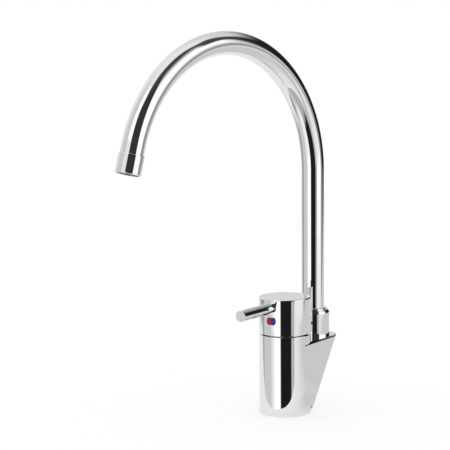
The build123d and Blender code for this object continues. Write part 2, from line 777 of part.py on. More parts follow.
# Nipple: turns in the collar, with two seal grooves and the groove of the stop
stop_floor_r = spout_r - stop_depth
stop_half = stop_tip_diameter / 2 + free_gap
stop_margin = degrees(asin(stop_half / stop_floor_r))
stop_from = stop_screw_side - swing_each_side - spout_turn - stop_margin
stop_arc = 2 * (swing_each_side + stop_margin)
with BuildPart() as swivel_nipple:
    with BuildSketch(Plane.XY.offset(nipple_foot)):
        with Locations((0, spout_offset)):
            Circle(spout_r)
    extrude(amount=nipple_height)
    with BuildSketch(Plane.XY.offset(nipple_top)):
        with Locations((0, spout_offset)):
            Circle(spout_bore_r)
    extrude(amount=nipple_plug)
    with BuildSketch(Plane.XY.offset(nipple_foot)):
        with Locations((0, spout_offset)):
            Circle(nipple_bore / 2)
            with PolarLocations(nipple_way_circle / 2, nipple_ways):
                Circle(nipple_way_diameter / 2)
    extrude(amount=nipple_height + nipple_plug, mode=Mode.SUBTRACT)
    for seal_height in (seal_height_low, seal_height_high):
        with BuildSketch(Plane.XY.offset(nipple_foot + seal_height)):
            with Locations((0, spout_offset)):
                Circle(spout_r + free_gap)
                Circle(spout_r - seal_wire, mode=Mode.SUBTRACT)
        extrude(amount=seal_wire * groove_share, mode=Mode.SUBTRACT)
    stop_side = Plane(
        origin=(0, spout_offset, 0),
        x_dir=(cos(radians(stop_from)), sin(radians(stop_from)), 0),
        z_dir=(sin(radians(stop_from)), -cos(radians(stop_from)), 0),
    )
    with BuildSketch(stop_side):
        with Locations((stop_floor_r + spout_r / 2, screw_height)):
            Rectangle(spout_r, stop_half * 2)
    revolve(axis=spout_axis, revolution_arc=stop_arc, mode=Mode.SUBTRACT)
rest(swivel_nipple, "swivel_nipple")

with BuildPart() as swivel_seals:
    for seal_height in (seal_height_low, seal_height_high):
        with BuildSketch(section_plane):
            with Locations((spout_r - seal_wire / 2,
                            nipple_foot + seal_height + seal_wire / 2)):
                Circle(seal_wire / 2)
        revolve(axis=spout_axis)
rest(swivel_seals, "swivel_seals")

with BuildPart() as spout_stop_screw:
    with BuildSketch(Plane(origin=(0, spout_offset, screw_height), z_dir=(0, 1, 0))):
        Circle(stop_tip_diameter / 2)
    extrude(amount=spout_r + free_gap)
    with BuildSketch(Plane(origin=(0, spout_offset + spout_r + turning_gap, screw_height),
                           z_dir=(0, 1, 0))):
        Circle(stop_thread_diameter / 2)
    extrude(amount=collar_r - spout_r - free_gap - turning_gap)
    with BuildSketch(Plane(origin=(0, spout_offset, screw_height), z_dir=(0, 1, 0))):
        Circle(stop_thread_diameter)
    extrude(amount=stop_floor_r + free_gap, mode=Mode.SUBTRACT)
rest(spout_stop_screw, "spout_stop_screw")

# Spout: the bent tube, and the inner tube of the filtered water
with BuildPart() as spout_tube:
    with BuildSketch(Plane.XY.offset(nipple_top)):
        with Locations((0, spout_offset)):
            Circle(spout_r)
            Circle(spout_bore_r, mode=Mode.SUBTRACT)
    sweep(path=spout_route(nipple_top, outlet_straight_length + aerator_overlap))
rest(spout_tube, "spout_tube")

filter_tube_r = filter_tube_diameter / 2
filter_foot = nipple_top + nipple_plug / 2
insert_start = aerator_overlap + aerator_seal_height
filter_end = insert_start + filter_seat_depth
with BuildPart() as filtered_water_tube:
    with BuildSketch(Plane.XY.offset(filter_foot)):
        with Locations((0, spout_offset)):
            Circle(filter_tube_r)
            Circle(filter_tube_r - filter_tube_wall, mode=Mode.SUBTRACT)
    sweep(path=spout_route(filter_foot, outlet_straight_length + filter_end))
rest(filtered_water_tube, "filtered_water_tube")

# Outlet: sleeve over the tube's end, with the jet former and its seal
aerator_bore_r = aerator_diameter / 2 - aerator_wall
with BuildPart() as aerator_housing:
    with BuildSketch(outlet_plane(0)):
        Circle(aerator_diameter / 2)
    extrude(amount=aerator_length)
    chamfer(aerator_housing.edges().filter_by(GeomType.CIRCLE), aerator_chamfer)
    with BuildSketch(outlet_plane(0)):
        Circle(spout_r)
    extrude(amount=aerator_overlap, mode=Mode.SUBTRACT)
    with BuildSketch(outlet_plane(aerator_overlap)):
        Circle(aerator_bore_r)
    extrude(amount=aerator_length - aerator_overlap, mode=Mode.SUBTRACT)
rest(aerator_housing, "aerator_housing")

insert_length = aerator_length - aerator_recess - insert_start
with BuildPart() as aerator_insert:
    with BuildSketch(outlet_plane(insert_start)):
        Circle(aerator_bore_r)
        with PolarLocations(aerator_jet_circle / 2, aerator_jets):
            Circle(aerator_jet_diameter / 2, mode=Mode.SUBTRACT)
        Circle(filtered_outlet_diameter / 2, mode=Mode.SUBTRACT)
    extrude(amount=insert_length)
    with BuildSketch(outlet_plane(insert_start)):
        Circle(filter_tube_r)
    extrude(amount=filter_seat_depth, mode=Mode.SUBTRACT)
rest(aerator_insert, "aerator_insert")

with BuildPart() as aerator_seal:
    with BuildSketch(outlet_plane(aerator_overlap)):
        Circle(aerator_bore_r)
        Circle(aerator_bore_r - aerator_seal_width, mode=Mode.SUBTRACT)
    extrude(amount=aerator_seal_height)
rest(aerator_seal, "aerator_seal")
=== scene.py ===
from math import asin, atan2, cos, degrees, pi, radians, sin, sqrt, tan

import bmesh
import bpy
import numpy as np
from mathutils import Matrix, Vector


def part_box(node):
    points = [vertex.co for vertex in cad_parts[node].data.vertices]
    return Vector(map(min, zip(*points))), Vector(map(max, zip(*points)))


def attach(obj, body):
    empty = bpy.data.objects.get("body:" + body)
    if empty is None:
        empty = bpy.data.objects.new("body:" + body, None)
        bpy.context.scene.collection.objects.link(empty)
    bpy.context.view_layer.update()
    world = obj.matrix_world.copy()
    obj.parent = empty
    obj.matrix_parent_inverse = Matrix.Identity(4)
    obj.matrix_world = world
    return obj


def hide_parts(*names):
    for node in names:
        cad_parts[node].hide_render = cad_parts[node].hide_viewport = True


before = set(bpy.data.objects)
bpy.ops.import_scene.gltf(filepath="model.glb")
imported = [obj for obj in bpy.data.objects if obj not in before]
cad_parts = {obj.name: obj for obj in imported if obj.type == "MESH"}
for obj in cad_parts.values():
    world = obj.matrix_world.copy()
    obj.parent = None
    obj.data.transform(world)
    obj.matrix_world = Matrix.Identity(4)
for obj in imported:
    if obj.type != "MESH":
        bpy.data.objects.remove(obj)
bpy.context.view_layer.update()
scene = bpy.context.scene


# ---------------------------------------------------------------------------
# Camera. A long lens two metres away and a little above the spout's arch,
# turned from the lever's side towards the right, as in the photograph.
camera_azimuth = radians(32.0)
camera_reach = 2.115        # over the ground, from the body's axis
camera_height = 0.4753
camera_yaw = radians(1.55)
camera_pitch = radians(7.85)
camera_roll = radians(-0.41)
sensor_width = 36.0
lens_length = 178.08

up = Vector((0, 0, 1))
heading = camera_azimuth + camera_yaw
level_sight = Vector((-sin(heading), cos(heading), 0))
sight = level_sight * cos(camera_pitch) - up * sin(camera_pitch)
level_right = sight.cross(up).normalized()
level_up = level_right.cross(sight)
camera_right = level_right * cos(camera_roll) + level_up * sin(camera_roll)
camera_up = level_up * cos(camera_roll) - level_right * sin(camera_roll)
camera = bpy.data.objects.new("camera", bpy.data.cameras.new("camera"))
scene.collection.objects.link(camera)
camera.data.sensor_width = sensor_width
camera.data.lens = lens_length
camera.rotation_euler = Matrix((camera_right, camera_up, -sight)).transposed().to_euler()
camera.location = (
    sin(camera_azimuth) * camera_reach,
    -cos(camera_azimuth) * camera_reach,
    camera_height,
)
scene.camera = camera


# ---------------------------------------------------------------------------
# Studio. A pale room around the tap, with a bright strip light on the left, a soft
# box on the right and black cloth between and around them, which polished metal
# mirrors. Matt surfaces get even light, and the camera sees plain white.
room_grey = 0.72
scene.world = bpy.data.worlds.new("studio")
scene.world.use_nodes = True
sky = scene.world.node_tree
sky.nodes.clear()


def node(tree, kind, inputs=None, **settings):
    """New shader node. Numbers and colours are set on its sockets, other sockets are linked."""
    made = tree.nodes.new(kind)
    for name, value in settings.items():
        setattr(made, name, value)
    for key, value in (inputs or {}).items():
        if isinstance(value, bpy.types.NodeSocket):
            tree.links.new(value, made.inputs[key])
        else:
            made.inputs[key].default_value = value
    return made


def maths(tree, operation, first, second=0.0):
    """Output of one Math node."""
    return node(tree, "ShaderNodeMath", {0: first, 1: second}, operation=operation).outputs[0]


def ramp_up(tree, value, start, end):
    """0 below start, 1 above end and a smooth step between them."""
    return node(
        tree, "ShaderNodeMapRange",
        {"Value": value, "From Min": start, "From Max": end},
        interpolation_type="SMOOTHSTEP",
    ).outputs[0]


def spread(tree, value, low, high, start=0.0, end=1.0):
    """The value stretched from start..end to low..high."""
    return node(tree, "ShaderNodeMapRange",
                {"Value": value, "From Min": start, "From Max": end,
                 "To Min": low, "To Max": high}).outputs[0]


# direction of a mirrored ray: side is its angle to the right of the camera's
# side of the tap, rise its angle above the horizon, both in degrees
ray = node(sky, "ShaderNodeTexCoord").outputs["Generated"]
turned = node(sky, "ShaderNodeVectorRotate", {"Vector": ray, "Angle": -camera_azimuth},
              rotation_type="Z_AXIS").outputs[0]
part = node(sky, "ShaderNodeSeparateXYZ", {0: turned})
towards = maths(sky, "MULTIPLY", part.outputs[1], -1.0)
side = maths(sky, "MULTIPLY", maths(sky, "ARCTAN2", part.outputs[0], towards), degrees(1))
rise = maths(sky, "MULTIPLY", maths(sky, "ARCSINE", part.outputs[2]), degrees(1))


def panel(tone, colour, left, right, foot, top, blur=(4, 4, 4, 4)):
    """The tone with a panel of another grey over it, each edge soft over its own blur in degrees."""
    mask = None
    edges = ((side, left, 1), (side, right, -1), (rise, foot, 1), (rise, top, -1))
    for (value, edge, way), soft in zip(edges, blur):
        if way < 0:
            value = maths(sky, "MULTIPLY", value, -1.0)
        ramp = ramp_up(sky, value, way * edge - soft / 2, way * edge + soft / 2)
        mask = maths(sky, "MULTIPLY", mask, ramp) if mask else ramp
    return spread(sky, mask, tone, colour)


def oval(tone, colour, middle_side, middle_rise, reach, blur):
    """The tone with a round spot of another grey over it, reach degrees from its middle to its edge."""
    turn, lift = radians(middle_side), radians(middle_rise)
    middle = (sin(turn) * cos(lift), -cos(turn) * cos(lift), sin(lift))
    share = node(sky, "ShaderNodeVectorMath", {0: turned, 1: middle}, operation="DOT_PRODUCT")
    inner, outer = cos(radians(reach - blur / 2)), cos(radians(reach + blur / 2))
    return spread(sky, ramp_up(sky, share.outputs["Value"], outer, inner), tone, colour)


tone = panel(room_grey, 0.84, -165, -116, 5, 120, blur=(30, 20, 12, 4))        # left wall
tone = panel(tone, 0.64, -114, -64, -100, 52, blur=(16, 8, 4, 14))             # its nearer part
tone = panel(tone, 0.30, -112, -70, -76, -50, blur=(24, 18, 12, 10))           # shade low on it
tone = panel(tone, 0.88, -200, 200, 60, 120, blur=(4, 4, 16, 4))               # ceiling
tone = panel(tone, 0.36, -136, -106, -32, -4, blur=(8, 8, 10, 6))              # grey board, low
tone = panel(tone, 0.46, -20, 48, -75, -30, blur=(24, 10, 20, 8))              # dim front below
tone = panel(tone, 0.86, -63, -20, -60, 66, blur=(6, 6, 14, 8))                # strip light's rim
tone = panel(tone, 1.20, -66, -18, 26, 64, blur=(8, 3, 6, 12))                 # strip light, top
tone = panel(tone, 0.98, -49, -18, -56, -14, blur=(6, 3, 14, 4))               # strip light, foot
tone = panel(tone, 1.20, -49, -18, -18, 17, blur=(6, 3, 10, 8))                # strip light
tone = panel(tone, 0.54, 43, 84, -62, -18, blur=(4, 14, 4, 12))                # pale board, foot
tone = panel(tone, 0.87, 40, 84, -22, -5, blur=(4, 14, 8, 4))                  # pale board, low
tone = panel(tone, 0.32, 91, 126, -16, -3, blur=(12, 20, 8, 4))                # grey beside it
tone = panel(tone, 0.50, 27, 42, -44, -6, blur=(3, 4, 8, 3))                   # grey edge of the cloth
tone = oval(tone, 0.050, 41, 38, 43.5, 10)                                     # black cloth, arched
tone = panel(tone, 0.036, -25, 46, -2, 52, blur=(4, 4, 6, 10))                 # black cloth, middle
tone = panel(tone, 0.012, -20.5, 28, -42, 8, blur=(5, 3, 8, 10))               # black cloth, front
tone = panel(tone, 0.060, 86, 116, 4, 58, blur=(8, 12, 8, 10))                 # black cloth, side
tone = panel(tone, 1.20, 44, 88, -8.5, 42, blur=(6, 8, 5, 38))                 # soft box
tone = panel(tone, 1.20, 80, 99, 5, 27, blur=(4, 10, 6, 8))                    # soft box's wing
tone = panel(tone, 0.015, 107, 168, -7.5, 34, blur=(8, 24, 5, 20))             # black cloth, right

glimpse = node(sky, "ShaderNodeLightPath")
mirrored = node(sky, "ShaderNodeMix", {0: glimpse.outputs["Is Glossy Ray"], 2: 1.0, 3: tone},
                data_type="FLOAT").outputs[0]
studio_light = node(sky, "ShaderNodeBackground", {"Color": (1, 1, 1, 1), "Strength": mirrored})
plain_white = node(sky, "ShaderNodeBackground", {"Color": (1, 1, 1, 1), "Strength": 1.0})
seen = node(sky, "ShaderNodeMixShader",
            {0: glimpse.outputs["Is Camera Ray"], 1: studio_light.outputs[0],
             2: plain_white.outputs[0]})
node(sky, "ShaderNodeOutputWorld", {"Surface": seen.outputs[0]})
scene.view_settings.view_transform = "Standard"


# ---------------------------------------------------------------------------
# Floor. A plain white table top that keeps a soft shadow of the tap. Its front
# edge, seen only mirrored in the metal, lies a little before the tap. There its
# glow is painted light, which falls off behind on the right, with a painted shade of the tap beside its
# foot.
floor_reach = 4.0
table_edge = -0.062         # the edge's place in front of the body's axis
floor_glow = 0.72           # how far the white is its own, and not the room's light
mirrored_near = 0.88        # tone of the table in the metal, in front and on the left
mirrored_far = 0.64         # and behind on the right
fall_back = (-0.05, 0.14)   # it falls off over this distance behind
fall_right = (-0.04, 0.04)  # and over this one to the right
shade_middle = (0.065, 0.045, 0)    # middle of the painted soft shade of the tap, on its right
shade_reach = (0.015, 0.06) # the shade fades over this distance from its middle
shade_depth = 0.84          # share of the tone that is left in the painted shade's middle
table_side = (0.42, 0.58)   # mirrored, the table gives way to the room here, on both sides
table_back = (0.9, 1.6)     # and here behind

floor_mesh = bpy.data.meshes.new("floor")
floor_mesh.from_pydata(
    [(-floor_reach, -floor_reach, 0), (floor_reach, -floor_reach, 0),
     (floor_reach, floor_reach, 0), (-floor_reach, floor_reach, 0)], [], [(0, 1, 2, 3)])
floor = bpy.data.objects.new("floor", floor_mesh)
scene.collection.objects.link(floor)
floor_look = bpy.data.materials.new("floor_white")
floor_look.use_nodes = True
paint = floor_look.node_tree
paint.nodes.clear()
matt = node(paint, "ShaderNodeBsdfDiffuse", {"Color": (1, 1, 1, 1)})
glow = node(paint, "ShaderNodeEmission", {"Color": (1, 1, 1, 1), "Strength": 1.0})
white = node(paint, "ShaderNodeMixShader", {0: floor_glow, 1: matt.outputs[0], 2: glow.outputs[0]})
place_on_floor = node(paint, "ShaderNodeTexCoord").outputs["Object"]
place = node(paint, "ShaderNodeSeparateXYZ", {0: place_on_floor})
before_edge = maths(paint, "LESS_THAN", place.outputs[1], table_edge)
sideways = maths(paint, "ABSOLUTE", place.outputs[0])
gone = maths(paint, "MAXIMUM", before_edge, ramp_up(paint, sideways, *table_side))
gone = maths(paint, "MAXIMUM", gone, ramp_up(paint, place.outputs[1], *table_back))
fall = maths(paint, "MULTIPLY", spread(paint, place.outputs[1], 0.0, 1.0, *fall_back),
             ramp_up(paint, place.outputs[0], *fall_right))
# painted shade: the mirrored table's glow is dimmed near the tap, and its painted light falls off behind on
# the right
near_tap = node(paint, "ShaderNodeVectorMath", {0: place_on_floor, 1: shade_middle},
                operation="DISTANCE").outputs["Value"]
mirrored_tone = maths(paint, "MULTIPLY", spread(paint, fall, mirrored_near, mirrored_far),
                      spread(paint, near_tap, shade_depth, 1.0, *shade_reach))
path = node(paint, "ShaderNodeLightPath")
dim = node(paint, "ShaderNodeEmission", {"Color": (1, 1, 1, 1), "Strength": mirrored_tone})
in_metal = node(paint, "ShaderNodeMixShader",
                {0: gone, 1: dim.outputs[0],
                 2: node(paint, "ShaderNodeBsdfTransparent").outputs[0]})
shown = node(paint, "ShaderNodeMixShader",
             {0: path.outputs["Is Glossy Ray"], 1: white.outputs[0], 2: in_metal.outputs[0]})
node(paint, "ShaderNodeOutputMaterial", {"Surface": shown.outputs[0]})
floor_mesh.materials.append(floor_look)


# ---------------------------------------------------------------------------
# Chrome plate. Bright nickel and chrome on polished brass: close to a mirror,
# with a faint waviness left by the buffing wheel and a breath of haze.
def new_look(name):
    """A material with an empty node tree, its Principled shader and its object coordinates."""
    made = bpy.data.materials.new(name)
    made.use_nodes = True
    tree = made.node_tree
    tree.nodes.clear()
    shader = tree.nodes.new("ShaderNodeBsdfPrincipled")
    node(tree, "ShaderNodeOutputMaterial", {"Surface": shader.outputs[0]})
    spot = node(tree, "ShaderNodeTexCoord").outputs["Object"]
    return made, tree, shader, spot


def cloud(tree, spot, scale, detail=3.0, roughness=0.5):
    """Fractal noise at so many cells a metre."""
    return node(tree, "ShaderNodeTexNoise",
                {"Vector": spot, "Scale": scale, "Detail": detail, "Roughness": roughness}).outputs["Fac"]


def between(tree, factor, first, second):
    """Colour between two others by the factor."""
    return node(tree, "ShaderNodeMix", {0: factor, 6: (*first, 1), 7: (*second, 1)},
                data_type="RGBA").outputs[2]


def bumped(tree, shader, height, distance, strength=1.0):
    """Gives the shader a bump of the height, in metres."""
    bump = node(tree, "ShaderNodeBump",
                {"Height": height, "Distance": distance, "Strength": strength})
    tree.links.new(bump.outputs[0], shader.inputs["Normal"])


chrome, tree, shader, spot = new_look("chrome")
haze = cloud(tree, spot, 38, 5, 0.6)
tree.links.new(between(tree, haze, (0.86, 0.865, 0.875), (0.90, 0.905, 0.91)), shader.inputs["Base Color"])
shader.inputs["Metallic"].default_value = 1.0
tree.links.new(spread(tree, haze, 0.015, 0.04, 0.3, 0.75), shader.inputs["Roughness"])
bumped(tree, shader, cloud(tree, spot, 160, 2), 0.00001, 0.3)


# ---------------------------------------------------------------------------
# Body casting. Gravity-cast brass, turned, ground flat on the arm's two sides,
# polished and chromed: a round column with the sloping arm behind it.
casting_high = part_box("body_casting")[1]
body_r = casting_high[0]
body_top = casting_high[2]
spout_y = 0.052             # the spout's axis behind the body's
arm_drop = 0.0085           # the arm's top lies this far under the body's
arm_top = body_top - arm_drop
arm_end_r = casting_high[1] - spout_y
arm_foot = 0.0035           # where the arm's underside leaves the body
arm_knee = 0.008            # where the underside turns into the slope
knee_back = 0.0072          # how far the arm's round stands behind the body there
cone_inset = 0.0001         # and how far it is inside the body's radius, at the foot
knee_inset = 0.0004         # and at the knee
web_inset = 0.00015         # the web between body and arm lies this far inside the body's side
flat_inset_top = 0.0002     # the flats lie this far inside the body's side
flat_inset_foot = 0.0008
flat_foot = 0.007           # lowest height of the flats
flat_front = 0.005          # their front line lies this far before the body's axis, along the side
flat_corner = 0.013         # radius of their lower front corner
foot_round = 0.002          # of the body's lower edge
edge_round = 0.0004         # of its upper edge and of the cap's lower edge
arm_round = 0.0015          # of the arm's top edge
edge_hold = 0.0002          # a wall's last strip before a round, which keeps its shading level
block_r = 0.019             # recess of the inlet block in the foot
block_height = 0.018
seal_r = (0.0205, 0.0225)   # groove of the ring seal under the foot
seal_depth = 0.002
chamber_r = 0.0175          # chamber of the cartridge
chamber_floor = 0.050
shoulder = 0.066            # height at which the wider thread of its nut begins
nut_r = 0.020

side_turn = asin((body_r - arm_end_r) / spout_y)
side_out = np.array((cos(side_turn), sin(side_turn)))
side_back = np.array((-sin(side_turn), cos(side_turn)))
front_columns = 161
flat_columns = 8
end_columns = 97


def arm_circle(z):
    """Centre distance and radius of the arm's round at height z: even steps below and above the knee."""
    heights = (arm_foot, arm_knee, arm_top)
    centre = np.interp(z, heights, (0, knee_back, spout_y))
    radius = np.interp(z, heights, (body_r - cone_inset, body_r - knee_inset, arm_end_r))
    return centre, radius


def flat_distance(z):
    """Distance of the side flat from the body's axis at height z."""
    share = (arm_top - z) / (arm_top - flat_foot)
    return body_r - flat_inset_top - (flat_inset_foot - flat_inset_top) * share


def flat_start(z, distance):
    """Where the flat begins along the side: at its front line, its round corner or the cylinder."""
    start = -flat_front
    corner_z = flat_foot + flat_corner
    if z < corner_z:
        start = flat_corner - flat_front - sqrt(max(flat_corner**2 - (corner_z - z)**2, 0))
    return max(start, -sqrt(body_r**2 - distance**2))


def flat_end(z, distance, inset):
    """Where the flat runs out into the round end."""
    centre, radius = arm_circle(z)
    radius -= inset
    return centre * cos(side_turn) + sqrt(max(radius**2 - (distance - centre * sin(side_turn))**2, 0))


def outer_distance(t, z):
    """Distance outward of the uncut side, at t along it: cylinder, web or round end, whichever is out."""
    centre, radius = arm_circle(z)
    across = t - centre * cos(side_turn)
    reach = sqrt(max(body_r**2 - t**2, 0))
    if t > 0:
        reach = max(reach, body_r - web_inset)
    if abs(across) < radius:
        reach = max(reach, centre * sin(side_turn) + sqrt(radius**2 - across**2))
    return reach


def flat_meeting():
    """Lowest height of the flat, where its start and its end meet."""
    low, high = flat_foot, flat_foot + flat_corner
    for _ in range(50):
        middle = (low + high) / 2
        distance = flat_distance(middle)
        if flat_start(middle, distance) < flat_end(middle, distance, 0):
            high = middle
        else:
            low = middle
    return high


def side_points(z, inset):
    """Right-hand points of the arm's section: edge on the cylinder, foot of the step, flat, and its end."""
    meeting = flat_meeting()
    level = max(z, meeting)
    distance = flat_distance(level) - inset
    start = flat_start(level, distance)
    end = max(flat_end(level, distance, inset), start)
    edge = side_out * max(outer_distance(start, level), distance) + side_back * start
    if z < meeting:
        return np.repeat(edge[None], flat_columns + 1, axis=0)
    along = np.linspace(start, end, flat_columns)[:, None]
    flat = side_out * distance + side_back * along
    return np.vstack((edge, flat))


def around(radius, start, end, count):
    """Points on a circle about the body's axis, by their angle from the front, anticlockwise from above."""
    angle = np.linspace(start, end, count)
    return np.stack((radius * np.sin(angle), -radius * np.cos(angle)), axis=-1)


def arm_reach(ways, z):
    """Distance from the body's axis to the arm's round along unit directions, at height z."""
    centre, radius = arm_circle(z)
    return centre * ways[:, 1] + np.sqrt(np.maximum(radius**2 - (centre * ways[:, 0])**2, 0))


def uncut(outline, z):
    """The outline's points moved along their directions to the cylinder or the arm's round."""
    ways = outline / np.hypot(outline[:, 0], outline[:, 1])[:, None]
    return ways * np.maximum(arm_reach(ways, z), body_r)[:, None]


def arm_section(z, inset):
    """Outline of the body and the arm at one height, starting at the left flat's front edge."""
    right = side_points(z, inset)
    left = right[::-1] * (-1, 1)
    edge_angle = atan2(right[0, 0], -right[0, 1])
    front = uncut(around(body_r, -edge_angle, edge_angle, front_columns), z)
    front[0], front[-1] = left[-1], right[0]
    centre, radius = arm_circle(z)
    radius -= inset
    meets = right[-1]
    angle_start = atan2(meets[1] - centre, meets[0])
    angle = np.linspace(angle_start, pi - angle_start, end_columns)[1:-1]
    end = np.stack((radius * np.cos(angle), centre + radius * np.sin(angle)), axis=-1)
    return np.vstack((front, right[1:], end, left[:-1]))


def round_section(radius, edge_angle):
    """A circle with its points spread as in the arm's section."""
    front = around(radius, -edge_angle, edge_angle, front_columns)
    rest_columns = 2 * flat_columns + end_columns - 2
    behind = around(radius, edge_angle, 2 * pi - edge_angle, rest_columns + 2)[1:-1]
    return np.vstack((front, behind))


def at_height(outline, z):
    """The outline's points lifted to a height, or to one height for each point."""
    return np.column_stack((outline, np.broadcast_to(z, len(outline))))


def slope_start(ways):
    """Height at which the sloping end leaves the cylinder, for each direction."""
    low, high = np.full(len(ways), arm_foot), np.full(len(ways), arm_top)
    for _ in range(40):
        z = (low + high) / 2
        out = arm_reach(ways, z) > body_r
        high = np.where(out, z, high)
        low = np.where(out, low, z)
    return high


def make_piece(name, rows, look, body, stands_for=(), closed=False, sharp_rows=(),
               sharp_columns=(), sharp_span=None, sharp_angle=30):
    """Closed mesh of a grid of points[row, column]: quads between neighbours, joined around the columns.

    With closed, the last row joins the first, and otherwise each end is shut by one flat face.
    The faces are turned outwards by the sign of the volume. Sharp rows and columns stay creased.
    """
    rows = np.asarray(rows, dtype=float)
    count, width = rows.shape[:2]
    places = rows.reshape(-1, 3)
    grid = np.arange(count * width).reshape(count, width)
    lower = grid if closed else grid[:-1]
    upper = np.roll(grid, -1, axis=0) if closed else grid[1:]
    quads = np.stack((lower, np.roll(lower, -1, axis=1), np.roll(upper, -1, axis=1), upper), axis=-1)
    quads = quads.reshape(-1, 4)
    corner = places[quads]
    cross = np.cross(corner[:, 2] - corner[:, 0], corner[:, 3] - corner[:, 1])
    middle = corner.mean(axis=1) - places.mean(axis=0)
    ends = [] if closed else [grid[0][::-1], grid[-1]]
    if (cross * middle).sum() < 0:
        quads = quads[:, ::-1]
        ends = [end[::-1] for end in ends]
    mesh = bpy.data.meshes.new(name)
    mesh.from_pydata(places.tolist(), [], quads.tolist() + [end.tolist() for end in ends])
    mesh.shade_smooth()
    mesh.set_sharp_from_angle(angle=radians(sharp_angle))
    pairs = np.empty(len(mesh.edges) * 2, dtype=np.int32)
    mesh.edges.foreach_get("vertices", pairs)
    pairs = pairs.reshape(-1, 2)
    row, column = pairs // width, pairs % width
    low, high = sharp_span or (0, count)
    mark = (row[:, 0] == row[:, 1]) & np.isin(row[:, 0], sharp_rows)
    mark |= ((column[:, 0] == column[:, 1]) & np.isin(column[:, 0], sharp_columns)
             & (row.min(axis=1) >= low) & (row.max(axis=1) <= high))
    sharp = np.zeros(len(mesh.edges), dtype=bool)
    kept = mesh.attributes.get("sharp_edge") or mesh.attributes.new("sharp_edge", "BOOLEAN", "EDGE")
    kept.data.foreach_get("value", sharp)
    kept.data.foreach_set("value", sharp | mark)
    weld(mesh)
    mesh.materials.append(look)
    piece = bpy.data.objects.new(name, mesh)
    scene.collection.objects.link(piece)
    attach(piece, body)
    if stands_for:
        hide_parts(*stands_for)
    return piece


def weld(mesh, reach=1e-7):
    """Merges points that lie on each other and drops faces without area."""
    work = bmesh.new()
    work.from_mesh(mesh)
    bmesh.ops.remove_doubles(work, verts=work.verts, dist=reach)
    work.to_mesh(mesh)
    work.free()


meeting = flat_meeting()
top_edge = side_points(arm_top, arm_round)[0]
top_angle = atan2(top_edge[0], -top_edge[1])
foot_ways = arm_section(meeting, 0)
foot_ways /= np.hypot(foot_ways[:, 0], foot_ways[:, 1])[:, None]
slope_line = np.minimum(slope_start(foot_ways), meeting)

casting_rows = [
    at_height(foot_ways * block_r, block_height),
    at_height(foot_ways * block_r, 0),
    at_height(foot_ways * seal_r[0], 0),
    at_height(foot_ways * seal_r[0], seal_depth),
    at_height(foot_ways * seal_r[1], seal_depth),
    at_height(foot_ways * seal_r[1], 0),
]
for turn in np.radians(np.linspace(0, 90, 9)):
    ring = foot_ways * (body_r - foot_round * (1 - sin(turn)))
    casting_rows.append(at_height(ring, foot_round * (1 - cos(turn))))
slope_row = len(casting_rows)
for share in np.linspace(0, 1, 9):
    z = slope_line + (meeting - slope_line) * share
    casting_rows.append(at_height(uncut(foot_ways, z), z))
flat_row = len(casting_rows)
corner_top = flat_foot + flat_corner
corner_levels = corner_top - (corner_top - meeting) * np.cos(np.radians(np.linspace(0, 90, 25)))
levels = sorted(list(corner_levels) + [arm_knee]
                + list(np.linspace(corner_top, arm_top - arm_round, 33)[1:]))
knee_row = flat_row + levels.index(arm_knee)
for z in levels:
    casting_rows.append(at_height(arm_section(z, 0), z))
for turn in np.radians(np.linspace(0, 90, 6))[1:]:
    z = arm_top - arm_round * (1 - sin(turn))
    casting_rows.append(at_height(arm_section(z, arm_round * (1 - cos(turn))), z))
top_row = len(casting_rows) - 1
for z in (arm_top, body_top - edge_round - edge_hold, body_top - edge_round):
    casting_rows.append(at_height(round_section(body_r, top_angle), z))
for turn in np.radians(np.linspace(0, 90, 5))[1:]:
    ring = round_section(body_r - edge_round * (1 - cos(turn)), top_angle)
    casting_rows.append(at_height(ring, body_top - edge_round * (1 - sin(turn))))
for radius, z in ((nut_r, body_top), (nut_r, shoulder), (chamber_r, shoulder),
                  (chamber_r, chamber_floor)):
    casting_rows.append(at_height(round_section(radius, top_angle), z))

right_edge = front_columns - 1
columns = len(casting_rows[0])
edge_columns = [0, right_edge, right_edge + 1, right_edge + flat_columns,
                columns - 1, columns - flat_columns]
make_piece(
    "casting_chrome", casting_rows, chrome, "tap_body", ["body_casting"],
    sharp_rows=[slope_row, knee_row, top_row, top_row + 1], sharp_columns=edge_columns,
    sharp_span=(flat_row, top_row))


# ---------------------------------------------------------------------------
# Handle cap. A deep brass cap, turned and chromed, with a narrow bevel round
# its top. Its foot is cut away behind so that it can tilt over the body.
cap_low, cap_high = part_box("handle_cap")
cap_bevel = 0.0011
cap_wall = 0.0026
cap_roof = 0.003
tilt_y = 0.012              # the tilt axis behind the body's axis
tilt_rise = 0.007           # and above the body's top
tilt_z = body_top + tilt_rise
lift_angle = radians(16.0)
relief_gap = 0.0004
cap_columns = 256

relief_rise = tilt_z - body_top - relief_gap
relief_slope = tan(lift_angle)
relief_y = tilt_y + (relief_rise - (tilt_z - cap_low[2]) * cos(lift_angle)) / sin(lift_angle)


def turned_rows(profile, count, lift_foot=None):
    """A profile of (radius, height) points carried around the body's axis, one row for each point."""
    angle = np.linspace(0, 2 * pi, count, endpoint=False)
    rows = []
    for radius, z in profile:
        x, y = radius * np.sin(angle), -radius * np.cos(angle)
        height = np.full(count, z)
        if lift_foot:
            height = np.maximum(height, lift_foot(y, height))
        rows.append(np.column_stack((x, y, height)))
    return rows


def quarter(radius, z, size, start, steps=4):
    """Points of a rounded edge: a quarter circle of the size about (radius, z), from the start angle."""
    turn = np.radians(start - np.linspace(0, 90, steps + 1))
    return [(radius + size * cos(a), z + size * sin(a)) for a in turn]


def tilt_room(y, height):
    """Lowest height of the cap behind the tilt axis, so that it clears the body when tilted."""
    return cap_low[2] + (y - relief_y) * relief_slope


